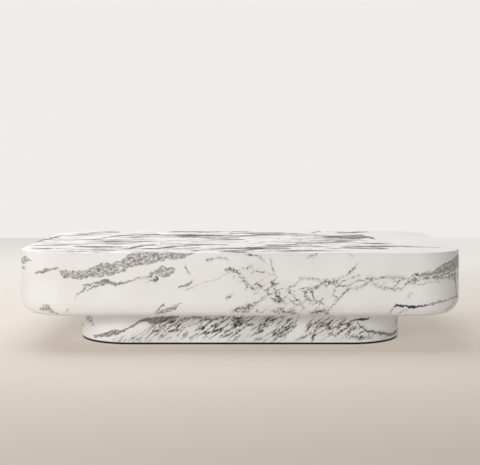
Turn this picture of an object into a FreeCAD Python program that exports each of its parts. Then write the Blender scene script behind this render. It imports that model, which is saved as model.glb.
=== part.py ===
# Marble coffee table: a thick stone-clad block on a smaller stone-clad plinth, with recessed levelling feet.
# Millimetres. X runs along the table, Y from front to back, Z up. The origin is on the floor, centred.
import FreeCAD, Part
import math
import os
import Sketcher

doc = FreeCAD.newDocument("marble_coffee_table")
dims = doc.addObject("Spreadsheet::Sheet", "dims")

# Driving dimensions
sizes = {
    # Whole table
    "table_length": 1524,
    "table_width": 914,
    "block_height": 218,
    "plinth_height": 123,
    "corner_radius": 172,  # of the block, in plan
    "lower_round": 54,  # of the block's lower edge
    "arris_round": 2.5,  # of the block's upper edge
    "overhang": 178,  # of the block past the plinth, all round
    "plinth_radius": 197,  # of the plinth's corners, in plan
    # Stones
    "top_thickness": 20,
    "top_nose": 5,  # upright edge of the top slab, above its mitre
    "apron_thickness": 20,
    "edge_strip_height": 60,
    "rim_flat": 6,  # underside of an edge strip, past the rounded lower edge
    "soffit_thickness": 12,
    "plinth_thickness": 20,
    "plinth_ease": 2,  # chamfer at the foot of the plinth stones
    "bond_line": 0.3,  # adhesive between neighbours
    # Boards
    "top_deck_thickness": 18,
    "under_deck_thickness": 18,
    "rib_thickness": 18,
    "web_thickness": 18,
    "lap_clearance": 0.2,
    "head_board_thickness": 18,
    "base_board_thickness": 30,
    "base_lip_height": 7,  # of the rebate that the plinth stones stand on
    "base_lip_inset": 2,
    # Bolts between the plinth and the block
    "bolt_radius": 5,
    "bolt_clearance": 0.5,
    "bolt_head_across": 17,
    "bolt_head_height": 6.4,
    "bolt_tail": 4,  # past the tee nut
    "washer_radius": 12,
    "washer_thickness": 2,
    "tee_flange_radius": 12,
    "tee_flange_thickness": 1.5,
    "tee_barrel_radius": 6.5,
    "tee_barrel_length": 14,
    "tee_fit": 0.1,
    "thread_clearance": 0.1,
    "access_radius": 22,  # holes under the bolts, for a socket wrench
    "cap_height": 12,  # of the caps that close them
    "cap_wall": 2,
    "cap_inset": 1,
    "cap_fit": 0.1,
    # Levelling feet
    "foot_edge": 42,  # from a foot's axis to the inner face of the plinth stone
    "pad_radius": 19,
    "pad_height": 8,
    "pad_floor": 3,  # under the stud's foot
    "pad_ease": 1,
    "recess_clearance": 3,
    "recess_headroom": 1.5,
    "stud_radius": 5,
    "stud_length": 34,  # above its hexagon
    "stud_foot_radius": 6,
    "stud_hex_across": 15,
    "stud_hex_height": 6,
    "swivel_clearance": 0.3,
    "insert_radius": 8,
    "insert_fit": 0.1,
}
for row, (name, size) in enumerate(sizes.items(), 1):
    dims.set(f"A{row}", name)
    dims.set(f"B{row}", str(size))
    dims.setAlias(f"B{row}", name)
doc.recompute()

# Heights, from the floor up
base_top = "dims.base_board_thickness"
head_bottom = "(dims.plinth_height - dims.head_board_thickness)"
block_bottom = "dims.plinth_height"
under_deck_bottom = f"({block_bottom} + dims.soffit_thickness)"
under_deck_top = f"({under_deck_bottom} + dims.under_deck_thickness)"
strip_top = f"({block_bottom} + dims.edge_strip_height)"
table_top = f"({block_bottom} + dims.block_height)"
slab_bottom = f"({table_top} - dims.top_thickness)"
top_deck_bottom = f"({slab_bottom} - dims.top_deck_thickness)"
recess_depth = "(dims.pad_height + dims.stud_hex_height + dims.recess_headroom)"

# Plan of the block: its corners' centres, and what lies how far in from its outer face
core_half_length = "(dims.table_length / 2 - dims.corner_radius)"
core_half_width = "(dims.table_width / 2 - dims.corner_radius)"
apron_back = "(dims.apron_thickness + dims.bond_line)"
rim_depth = "(dims.lower_round + dims.rim_flat)"
rim_back = f"({rim_depth} + dims.bond_line)"

# Plan of the plinth, in the same way
plinth_half_length = "(dims.table_length / 2 - dims.overhang)"
plinth_half_width = "(dims.table_width / 2 - dims.overhang)"
plinth_core_half_length = f"({plinth_half_length} - dims.plinth_radius)"
plinth_core_half_width = f"({plinth_half_width} - dims.plinth_radius)"
plinth_back = "(dims.plinth_thickness + dims.bond_line)"
plinth_inner_half_length = f"({plinth_half_length} - {plinth_back})"
plinth_inner_half_width = f"({plinth_half_width} - {plinth_back})"

# The ribs of the block stand over the webs of the plinth, whose places are shares of the room inside its stones
cross_place_shares = (-0.66, -0.22, 0.22, 0.66)
long_place_shares = (-0.28, 0.28)

# The bolts are in the middle of the outer bays, between a long web and the plinth stone
bolt_place_share = 0.44
long_web_face = f"({long_place_shares[1]} * {plinth_inner_half_width} + dims.web_thickness / 2)"
bolt_x = f"({bolt_place_share} * {plinth_inner_half_length})"
bolt_y = f"(({long_web_face} + {plinth_inner_half_width}) / 2)"

# The feet are on the diagonals of the plinth's corners
foot_reach = "((dims.plinth_radius - dims.plinth_thickness - dims.foot_edge) / sqrt(2))"
foot_x = f"({plinth_core_half_length} + {foot_reach})"
foot_y = f"({plinth_core_half_width} + {foot_reach})"

# Sides and corners of a ring of stones: name, turn about Z in degrees, and the way it faces in X and Y
sides = (("right", 0, 1, 0), ("back", 90, 0, 1), ("left", 180, -1, 0), ("front", 270, 0, -1))
corners = (
    ("back_right", 45, 1, 1),
    ("back_left", 135, -1, 1),
    ("front_left", 225, -1, -1),
    ("front_right", 315, 1, -1),
)
quarter_turn = 90
full_turn = 360
same_place = 1e-6  # two coordinates closer than this are one

pieces = []


def value(expression):
    """What an expression on the sheet gives now."""
    return float(dims.evalExpression(expression))


def place(thing, x, y, z, turn=0):
    """Bind a thing's place to expressions, turned about Z."""
    thing.Placement.Rotation = FreeCAD.Rotation(FreeCAD.Vector(0, 0, 1), turn)
    for axis, expression in zip("xyz", (x, y, z)):
        thing.setExpression(f"Placement.Base.{axis}", expression)


def new_body(label):
    """A sub-part of the table."""
    body = doc.addObject("PartDesign::Body", label)
    body.Label = label
    pieces.append(body)
    return body


def drive(sketch, kind, where, expression):
    """Add a dimension to a sketch and bind it to an expression."""
    number = sketch.addConstraint(Sketcher.Constraint(kind, *where, value(expression)))
    sketch.setExpression(f"Constraints[{number}]", expression)


def new_sketch(body, name, plane, lift="0"):
    """A sketch on one of the body's own planes, lifted along the plane's normal."""
    sketch = body.newObject("Sketcher::SketchObject", name)
    support = next(feature for feature in body.Origin.OriginFeatures if feature.Role == plane)
    sketch.AttachmentSupport = [(support, "")]
    sketch.MapMode = "FlatFace"
    sketch.setExpression("AttachmentOffset.Base.z", lift)
    return sketch


def draw_outline(sketch, points):
    """Draw a closed outline, anticlockwise. A point is (across, up), or (across, up, radius) where an arc
    that bulges outwards leads to the next point."""
    places = [FreeCAD.Vector(value(point[0]), value(point[1]), 0) for point in points]
    for number, point in enumerate(points):
        start = places[number]
        end = places[(number + 1) % len(points)]
        if len(point) == 2:
            sketch.addGeometry(Part.LineSegment(start, end))
            continue
        radius = value(point[2])
        chord = end - start
        rise = math.sqrt(radius**2 - (chord.Length / 2) ** 2)
        inwards = FreeCAD.Vector(-chord.y, chord.x, 0).normalize()
        centre = (start + end) / 2 + inwards * rise
        first, last = (math.atan2(tip.y - centre.y, tip.x - centre.x) for tip in (start, end))
        circle = Part.Circle(centre, FreeCAD.Vector(0, 0, 1), radius)
        sketch.addGeometry(Part.ArcOfCircle(circle, first, last))
    for number, point in enumerate(points):
        following = (number + 1) % len(points)
        sketch.addConstraint(Sketcher.Constraint("Coincident", number, 2, following, 1))
        drive(sketch, "DistanceX", (-1, 1, number, 1), point[0])
        drive(sketch, "DistanceY", (-1, 1, number, 1), point[1])
        if len(point) == 3:
            drive(sketch, "Radius", (number,), point[2])


def draw_circles(sketch, x, y, radius):
    """Draw four circles, one in each quarter of the plan."""
    for _, _, way_x, way_y in corners:
        centre = FreeCAD.Vector(way_x * value(x), way_y * value(y), 0)
        number = sketch.addGeometry(Part.Circle(centre, FreeCAD.Vector(0, 0, 1), value(radius)))
        drive(sketch, "DistanceX", (-1, 1, number, 3), f"{way_x} * {x}")
        drive(sketch, "DistanceY", (-1, 1, number, 3), f"{way_y} * {y}")
        drive(sketch, "Radius", (number,), radius)


def draw_rounded_rectangle(sketch, half_length, half_width, radius):
    """Draw a rectangle with rounded corners about the origin."""
    inner_length = f"({half_length} - {radius})"
    inner_width = f"({half_width} - {radius})"
    draw_outline(
        sketch,
        (
            (f"-{inner_length}", f"-{half_width}"),
            (inner_length, f"-{half_width}", radius),
            (half_length, f"-{inner_width}"),
            (half_length, inner_width, radius),
            (inner_length, half_width),
            (f"-{inner_length}", half_width, radius),
            (f"-{half_length}", inner_width),
            (f"-{half_length}", f"-{inner_width}", radius),
        ),
    )


def pad(body, sketch, length, symmetric=False):
    """Raise a solid from a sketch."""
    feature = body.newObject("PartDesign::Pad", f"{sketch.Name}_pad")
    feature.Profile = sketch
    feature.SideType = "Symmetric" if symmetric else "One side"
    feature.setExpression("Length", length)
    doc.recompute()
    return feature


def revolve(body, sketch, angle):
    """Turn a sketch about its upright axis, half of the angle to each side."""
    feature = body.newObject("PartDesign::Revolution", f"{sketch.Name}_turn")
    feature.Profile = sketch
    feature.ReferenceAxis = (sketch, ["V_Axis"])
    feature.Angle = angle
    feature.Midplane = True
    doc.recompute()
    return feature


def drill(body, sketch, depth=None):
    """Cut a sketch's circles upwards into the body, by a depth or right through."""
    before = body.Shape.Volume
    feature = body.newObject("PartDesign::Pocket", f"{sketch.Name}_cut")
    feature.Profile = sketch
    feature.Reversed = True
    if depth is None:
        feature.Type = "ThroughAll"
    else:
        feature.setExpression("Length", depth)
    doc.recompute()
    if not body.Shape.Volume < before:
        raise RuntimeError(f"{feature.Name} cuts nothing")


def level_edges(feature, height):
    """Names of the edges that lie at one height."""
    return [
        f"Edge{number}"
        for number, edge in enumerate(feature.Shape.Edges, 1)
        if math.isclose(edge.BoundBox.ZLength, 0, abs_tol=same_place)
        and math.isclose(edge.CenterOfMass.z, height, abs_tol=same_place)
    ]


def rounded_board(label, half_length, half_width, radius, thickness, bottom, hole=None):
    """A level board with rounded plan corners. hole is the radius of its four bolt holes."""
    body = new_body(label)
    sketch = new_sketch(body, f"{label}_plan", "XY_Plane")
    draw_rounded_rectangle(sketch, half_length, half_width, radius)
    if hole:
        draw_circles(sketch, bolt_x, bolt_y, hole)
    pad(body, sketch, thickness)
    place(body, "0", "0", bottom)
    return body


def straight_runs(label, section, half_length, half_width):
    """The four straight pieces of a ring, all of one section, measured from the corners' centre lines."""
    for side, turn, way_x, way_y in sides:
        body = new_body(f"{label}_{side}")
        sketch = new_sketch(body, f"{label}_{side}_section", "XZ_Plane")
        draw_outline(sketch, section)
        pad(body, sketch, f"2 * {half_width if way_x else half_length}", symmetric=True)
        place(body, f"{way_x} * {half_length}", f"{way_y} * {half_width}", "0", turn)


def corner_turns(label, section, half_length, half_width):
    """The four corner pieces of a ring, whose section turns about the corner's centre."""
    for corner, turn, way_x, way_y in corners:
        body = new_body(f"{label}_corner_{corner}")
        sketch = new_sketch(body, f"{label}_corner_{corner}_section", "XZ_Plane")
        draw_outline(sketch, section)
        revolve(body, sketch, quarter_turn)
        place(body, f"{way_x} * {half_length}", f"{way_y} * {half_width}", "0", turn)


def round_height(depth):
    """Height of the rounded lower edge above the block's underside, at a depth from its outer face."""
    return f"(dims.lower_round - sqrt(dims.lower_round ^ 2 - (dims.lower_round - {depth}) ^ 2))"


def top_slab():
    """The upper stone: mitred underneath along its edge, with an eased arris above."""
    body = rounded_board(
        "top_slab",
        "(dims.table_length / 2)",
        "(dims.table_width / 2)",
        "dims.corner_radius",
        "dims.top_thickness",
        slab_bottom,
    )
    plain = body.Tip
    mitre = body.newObject("PartDesign::Chamfer", "top_slab_mitre")
    mitre.Base = (plain, level_edges(plain, 0))
    mitre.ChamferType = "Two distances"
    mitre.setExpression("Size", "dims.top_thickness - dims.top_nose")
    mitre.setExpression("Size2", "dims.apron_thickness")
    doc.recompute()
    if not mitre.Shape.Volume < plain.Shape.Volume:
        raise RuntimeError("the mitre cuts nothing")
    arris = body.newObject("PartDesign::Fillet", "top_slab_arris")
    arris.Base = (mitre, level_edges(mitre, value("dims.top_thickness")))
    arris.setExpression("Radius", "dims.arris_round")
    doc.recompute()


def aprons():
    """The side stones of the block, down to the start of the rounded lower edge's inner half."""
    outer = "dims.corner_radius"
    inner = "(dims.corner_radius - dims.apron_thickness)"
    section = (
        (outer, f"{block_bottom} + dims.lower_round"),
        (outer, f"{table_top} - dims.top_nose - dims.bond_line"),
        (inner, f"{slab_bottom} - dims.bond_line"),
        (inner, f"{block_bottom} + {round_height('dims.apron_thickness')}", "dims.lower_round"),
    )
    straight_runs("apron", section, core_half_length, core_half_width)
    corner_turns("apron", section, core_half_length, core_half_width)


def edge_strips():
    """The stones behind the aprons' foot, which carry the rest of the rounded lower edge."""
    outer = f"(dims.corner_radius - {apron_back})"
    inner = f"(dims.corner_radius - {rim_depth})"
    section = (
        (outer, f"{block_bottom} + {round_height(apron_back)}"),
        (outer, strip_top),
        (inner, strip_top),
        (inner, block_bottom),
        ("dims.corner_radius - dims.lower_round", block_bottom, "dims.lower_round"),
    )
    straight_runs("edge_strip", section, core_half_length, core_half_width)
    corner_turns("edge_strip", section, core_half_length, core_half_width)


def rails():
    """The timber rails behind the aprons, between the edge strips and the top deck."""
    outer = f"(dims.corner_radius - {apron_back})"
    inner = f"(dims.corner_radius - {rim_depth})"
    section = ((outer, strip_top), (outer, top_deck_bottom), (inner, top_deck_bottom), (inner, strip_top))
    straight_runs("rail", section, core_half_length, core_half_width)


def block_boards():
    """The soffit stone and the two decks of the block."""
    inner = (
        f"(dims.table_length / 2 - {rim_back})",
        f"(dims.table_width / 2 - {rim_back})",
        f"(dims.corner_radius - {rim_back})",
    )
    bolt_hole = "(dims.bolt_radius + dims.bolt_clearance)"
    tee_hole = "(dims.tee_barrel_radius + dims.tee_fit)"
    rounded_board("soffit_panel", *inner, "dims.soffit_thickness", block_bottom, bolt_hole)
    rounded_board("under_deck", *inner, "dims.under_deck_thickness", under_deck_bottom, tee_hole)
    rounded_board(
        "top_deck",
        f"(dims.table_length / 2 - {apron_back})",
        f"(dims.table_width / 2 - {apron_back})",
        f"(dims.corner_radius - {apron_back})",
        "dims.top_deck_thickness",
        top_deck_bottom,
    )


def comb_outline(half_length, height, slot_places, slot_width, slots_above):
    """Outline of a board on edge, with half-lap slots in its upper or its lower edge."""
    points = [(f"-{half_length}", "0")]
    half_slot = f"{slot_width} / 2"
    half_height = f"{height} / 2"
    if not slots_above:
        for slot in slot_places:
            points.append((f"{slot} - {half_slot}", "0"))
            points.append((f"{slot} - {half_slot}", half_height))
            points.append((f"{slot} + {half_slot}", half_height))
            points.append((f"{slot} + {half_slot}", "0"))
    points.append((half_length, "0"))
    points.append((half_length, height))
    if slots_above:
        for slot in reversed(slot_places):
            points.append((f"{slot} + {half_slot}", height))
            points.append((f"{slot} + {half_slot}", half_height))
            points.append((f"{slot} - {half_slot}", half_height))
            points.append((f"{slot} - {half_slot}", height))
    points.append((f"-{half_length}", height))
    return points


def crate(long_label, cross_label, long_reach, cross_reach, thickness, bottom, height):
    """Long and cross boards on edge, half-lapped into each other. A reach gives a board's half length."""
    slot_width = f"({thickness} + dims.lap_clearance)"
    cross_places = [f"{share} * {plinth_inner_half_length}" for share in cross_place_shares]
    long_places = [f"{share} * {plinth_inner_half_width}" for share in long_place_shares]
    for name, y in zip(("front", "back"), long_places):
        body = new_body(f"{long_label}_{name}")
        sketch = new_sketch(body, f"{long_label}_{name}_outline", "XZ_Plane")
        draw_outline(sketch, comb_outline(long_reach(y), height, cross_places, slot_width, slots_above=True))
        pad(body, sketch, thickness, symmetric=True)
        place(body, "0", y, bottom)
    for number, x in enumerate(cross_places, 1):
        body = new_body(f"{cross_label}_{number}")
        sketch = new_sketch(body, f"{cross_label}_{number}_outline", "YZ_Plane")
        draw_outline(sketch, comb_outline(cross_reach(x), height, long_places, slot_width, slots_above=False))
        pad(body, sketch, thickness, symmetric=True)
        place(body, x, "0", bottom)


def block_crate():
    """The ribs between the two decks, from rail to rail."""
    crate(
        "long_rib",
        "cross_rib",
        lambda y: f"(dims.table_length / 2 - {rim_back})",
        lambda x: f"(dims.table_width / 2 - {rim_back})",
        "dims.rib_thickness",
        under_deck_top,
        f"({top_deck_bottom} - {under_deck_top})",
    )


def plinth_reach(core_along, core_across, offset):
    """How far a web reaches inside the plinth's stones, also where it ends at a corner stone."""
    past_straight = f"max(0; abs({offset}) + dims.web_thickness / 2 - {core_across})"
    return f"({core_along} + sqrt((dims.plinth_radius - {plinth_back}) ^ 2 - {past_straight} ^ 2))"


def plinth_crate():
    """The webs between the base board and the head board, from stone to stone."""
    crate(
        "plinth_long_web",
        "plinth_cross_web",
        lambda y: plinth_reach(plinth_core_half_length, plinth_core_half_width, y),
        lambda x: plinth_reach(plinth_core_half_width, plinth_core_half_length, x),
        "dims.web_thickness",
        base_top,
        f"({head_bottom} - {base_top})",
    )


def plinth_stones():
    """The stones of the plinth, standing on the rebate of the base board."""
    outer = "dims.plinth_radius"
    inner = "(dims.plinth_radius - dims.plinth_thickness)"
    section = (
        (outer, "dims.base_lip_height + dims.plinth_ease"),
        (outer, block_bottom),
        (inner, block_bottom),
        (inner, "dims.base_lip_height"),
        (f"{outer} - dims.plinth_ease", "dims.base_lip_height"),
    )
    straight_runs("plinth", section, plinth_core_half_length, plinth_core_half_width)
    corner_turns("plinth", section, plinth_core_half_length, plinth_core_half_width)


def plinth_head_board():
    """The board under the soffit, which the bolts pass."""
    rounded_board(
        "plinth_head_board",
        plinth_inner_half_length,
        plinth_inner_half_width,
        f"(dims.plinth_radius - {plinth_back})",
        "dims.head_board_thickness",
        head_bottom,
        "(dims.bolt_radius + dims.bolt_clearance)",
    )


def plinth_base_board():
    """The board on the floor: a lip under the stones, recesses for the feet and holes under the bolts."""
    body = rounded_board(
        "plinth_base_board",
        f"({plinth_half_length} - dims.base_lip_inset)",
        f"({plinth_half_width} - dims.base_lip_inset)",
        "(dims.plinth_radius - dims.base_lip_inset)",
        "dims.base_lip_height",
        "0",
    )
    sketch = new_sketch(body, "plinth_base_board_upper_plan", "XY_Plane", "dims.base_lip_height")
    draw_rounded_rectangle(
        sketch,
        plinth_inner_half_length,
        plinth_inner_half_width,
        f"(dims.plinth_radius - {plinth_back})",
    )
    pad(body, sketch, "dims.base_board_thickness - dims.base_lip_height")
    holes = new_sketch(body, "plinth_base_board_holes", "XY_Plane")
    draw_circles(holes, bolt_x, bolt_y, "dims.access_radius")
    draw_circles(holes, foot_x, foot_y, "(dims.insert_radius + dims.insert_fit)")
    drill(body, holes)
    recesses = new_sketch(body, "plinth_base_board_recesses", "XY_Plane")
    draw_circles(recesses, foot_x, foot_y, "(dims.pad_radius + dims.recess_clearance)")
    drill(body, recesses, recess_depth)


def cylinder(name, radius, height, x, y, z):
    """An upright cylinder on a point."""
    thing = doc.addObject("Part::Cylinder", name)
    thing.setExpression("Radius", radius)
    thing.setExpression("Height", height)
    place(thing, x, y, z)
    return thing


def hexagon(name, across, height, x, y, z):
    """An upright hexagonal prism on a point, by its size across the flats."""
    thing = doc.addObject("Part::Prism", name)
    thing.Polygon = 6
    thing.setExpression("Circumradius", f"{across} / sqrt(3)")
    thing.setExpression("Height", height)
    place(thing, x, y, z)
    return thing


def fuse(name, *things):
    """Several things as one solid."""
    whole = doc.addObject("Part::MultiFuse", name)
    whole.Shapes = list(things)
    return whole


def bore(name, thing, hole):
    """A thing less its hole."""
    rest = doc.addObject("Part::Cut", name)
    rest.Base = thing
    rest.Tool = hole
    return rest


def in_each_quarter(label, make, x, y):
    """A sub-part of four like solids, one in each quarter of the plan."""
    group = doc.addObject("Part::Compound", label)
    group.Label = label
    group.Links = [make(f"{label}_{name}", f"{wx} * {x}", f"{wy} * {y}") for name, _, wx, wy in corners]
    pieces.append(group)


def joining_bolt(name, x, y):
    """A hexagon-head bolt, up through the head board and the soffit into the tee nut."""
    head_top = f"({head_bottom} - dims.washer_thickness)"
    shank_length = f"{under_deck_top} + dims.tee_flange_thickness + dims.bolt_tail - {head_top}"
    head_place = f"{head_top} - dims.bolt_head_height"
    head = hexagon(f"{name}_head", "dims.bolt_head_across", "dims.bolt_head_height", x, y, head_place)
    return fuse(name, head, cylinder(f"{name}_shank", "dims.bolt_radius", shank_length, x, y, head_top))


def bolt_washer(name, x, y):
    """A flat washer under the head board."""
    bottom = f"{head_bottom} - dims.washer_thickness"
    disc = cylinder(f"{name}_disc", "dims.washer_radius", "dims.washer_thickness", x, y, bottom)
    hole_radius = "dims.bolt_radius + dims.bolt_clearance"
    return bore(name, disc, cylinder(f"{name}_hole", hole_radius, "dims.washer_thickness", x, y, bottom))


def tee_nut(name, x, y):
    """A tee nut let into the under deck from above."""
    barrel_bottom = f"{under_deck_top} - dims.tee_barrel_length"
    length = "dims.tee_barrel_length + dims.tee_flange_thickness"
    thread = "dims.bolt_radius + dims.thread_clearance"
    flange_height = "dims.tee_flange_thickness"
    flange = cylinder(f"{name}_flange", "dims.tee_flange_radius", flange_height, x, y, under_deck_top)
    barrel = cylinder(f"{name}_barrel", "dims.tee_barrel_radius", length, x, y, barrel_bottom)
    nut = fuse(f"{name}_outside", flange, barrel)
    return bore(name, nut, cylinder(f"{name}_thread", thread, length, x, y, barrel_bottom))


def access_cap(name, x, y):
    """A cap pushed into a hole under a bolt: a disc with a skirt."""
    outer_radius = "(dims.access_radius - dims.cap_fit)"
    inner_bottom = "dims.cap_inset + dims.cap_wall"
    inner_height = "dims.cap_height - dims.cap_wall"
    outside = cylinder(f"{name}_outside", outer_radius, "dims.cap_height", x, y, "dims.cap_inset")
    inside = cylinder(f"{name}_inside", f"{outer_radius} - dims.cap_wall", inner_height, x, y, inner_bottom)
    return bore(name, outside, inside)


def foot_insert(name, x, y):
    """A threaded insert above the recess of a foot."""
    length = f"{base_top} - {recess_depth}"
    thread = "dims.stud_radius + dims.thread_clearance"
    barrel = cylinder(f"{name}_barrel", "dims.insert_radius", length, x, y, recess_depth)
    return bore(name, barrel, cylinder(f"{name}_thread", thread, length, x, y, recess_depth))


def foot_pads():
    """The pads on the floor, each with a socket for its stud."""
    socket = "dims.stud_foot_radius + dims.swivel_clearance"
    section = (
        ("0", "0"),
        ("dims.pad_radius - dims.pad_ease", "0"),
        ("dims.pad_radius", "dims.pad_ease"),
        ("dims.pad_radius", "dims.pad_height"),
        (socket, "dims.pad_height"),
        (socket, "dims.pad_floor"),
        ("0", "dims.pad_floor"),
    )
    for corner, _, way_x, way_y in corners:
        body = new_body(f"foot_pad_{corner}")
        sketch = new_sketch(body, f"foot_pad_{corner}_section", "XZ_Plane")
        draw_outline(sketch, section)
        revolve(body, sketch, full_turn)
        place(body, f"{way_x} * {foot_x}", f"{way_y} * {foot_y}", "0")


def foot_studs():
    """The threaded studs, each with a hexagon for a spanner and a foot that turns in its pad."""
    hex_height = "dims.stud_hex_height"
    hex_top = f"dims.pad_height + {hex_height}"
    foot_height = "dims.pad_height - dims.pad_floor"
    for corner, _, way_x, way_y in corners:
        label = f"foot_stud_{corner}"
        x = f"{way_x} * {foot_x}"
        y = f"{way_y} * {foot_y}"
        stud = fuse(
            label,
            cylinder(f"{label}_foot", "dims.stud_foot_radius", foot_height, x, y, "dims.pad_floor"),
            hexagon(f"{label}_hexagon", "dims.stud_hex_across", hex_height, x, y, "dims.pad_height"),
            cylinder(f"{label}_thread", "dims.stud_radius", "dims.stud_length", x, y, hex_top),
        )
        stud.Label = label
        pieces.append(stud)


def hand_out():
    """Check every object, then write each sub-part to its own file."""
    doc.recompute()
    failed = [thing.Name for thing in doc.Objects if {"Invalid", "Error"} & set(thing.State)]
    failed += [piece.Label for piece in pieces if piece.Shape.isNull() or not piece.Shape.isValid()]
    if failed:
        raise RuntimeError(f"failed objects: {failed}")
    os.makedirs("parts", exist_ok=True)
    for piece in pieces:
        piece.Shape.exportStep(f"parts/{piece.Label}.step")
    print(len(pieces), "sub-parts")


top_slab()
aprons()
edge_strips()
rails()
block_boards()
block_crate()
plinth_stones()
plinth_head_board()
plinth_base_board()
plinth_crate()
in_each_quarter("joining_bolts", joining_bolt, bolt_x, bolt_y)
in_each_quarter("bolt_washers", bolt_washer, bolt_x, bolt_y)
in_each_quarter("tee_nuts", tee_nut, bolt_x, bolt_y)
in_each_quarter("access_caps", access_cap, bolt_x, bolt_y)
in_each_quarter("foot_inserts", foot_insert, foot_x, foot_y)
foot_pads()
foot_studs()
hand_out()
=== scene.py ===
import bmesh
import bpy
import math
from mathutils import Matrix, Vector


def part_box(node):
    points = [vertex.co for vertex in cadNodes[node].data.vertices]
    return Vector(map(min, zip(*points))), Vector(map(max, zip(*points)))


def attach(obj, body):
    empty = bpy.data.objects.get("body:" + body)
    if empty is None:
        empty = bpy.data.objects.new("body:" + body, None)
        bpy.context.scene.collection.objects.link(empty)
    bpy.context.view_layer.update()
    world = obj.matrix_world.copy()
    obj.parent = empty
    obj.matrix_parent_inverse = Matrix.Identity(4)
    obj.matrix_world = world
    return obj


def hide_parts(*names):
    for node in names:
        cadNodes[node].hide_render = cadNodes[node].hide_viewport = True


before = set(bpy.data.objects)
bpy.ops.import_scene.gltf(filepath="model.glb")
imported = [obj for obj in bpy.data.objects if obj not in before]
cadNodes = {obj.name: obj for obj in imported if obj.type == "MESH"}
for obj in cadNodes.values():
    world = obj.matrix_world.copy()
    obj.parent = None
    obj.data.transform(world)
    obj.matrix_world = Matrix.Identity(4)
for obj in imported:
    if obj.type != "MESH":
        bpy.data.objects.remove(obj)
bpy.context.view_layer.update()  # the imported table, metres, Z up
print("frame loaded:", len(cadNodes), "CAD nodes")

mmPerMetre = 1000
noiseMiddle = 0.5  # of a noise from 0 to 1


def hexColour(code):  # sRGB hex to linear
    shares = [int(code[start:start + 2], 16) / 255 for start in (1, 3, 5)]
    return (*(share / 12.92 if share <= 0.04045 else ((share + 0.055) / 1.055) ** 2.4 for share in shares), 1)


def setInputs(tree, node, inputs):  # values or links by socket; a node gives its first live output
    for socket, source in inputs.items():
        if isinstance(source, bpy.types.Node):
            source = next(output for output in source.outputs if output.enabled)
        if isinstance(source, bpy.types.NodeSocket):
            tree.links.new(source, node.inputs[socket])
        else:
            node.inputs[socket].default_value = source


def addNode(tree, kind, inputs=None, tones=(), **settings):  # a ramp's tones have places from 0 to 1
    node = tree.nodes.new("ShaderNode" + kind)
    for name, setting in settings.items():
        setattr(node, name, setting)
    for number, (place, colour) in enumerate(tones):
        stops = node.color_ramp.elements
        stop = stops[number] if number < 2 else stops.new(place)  # a new ramp has two stops
        stop.position = place
        stop.color = hexColour(colour)
    setInputs(tree, node, inputs or {})
    return node


def newMaterial(name):
    material = bpy.data.materials.new(name)
    material.use_nodes = True
    return material, material.node_tree, material.node_tree.nodes["Principled BSDF"]


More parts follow.
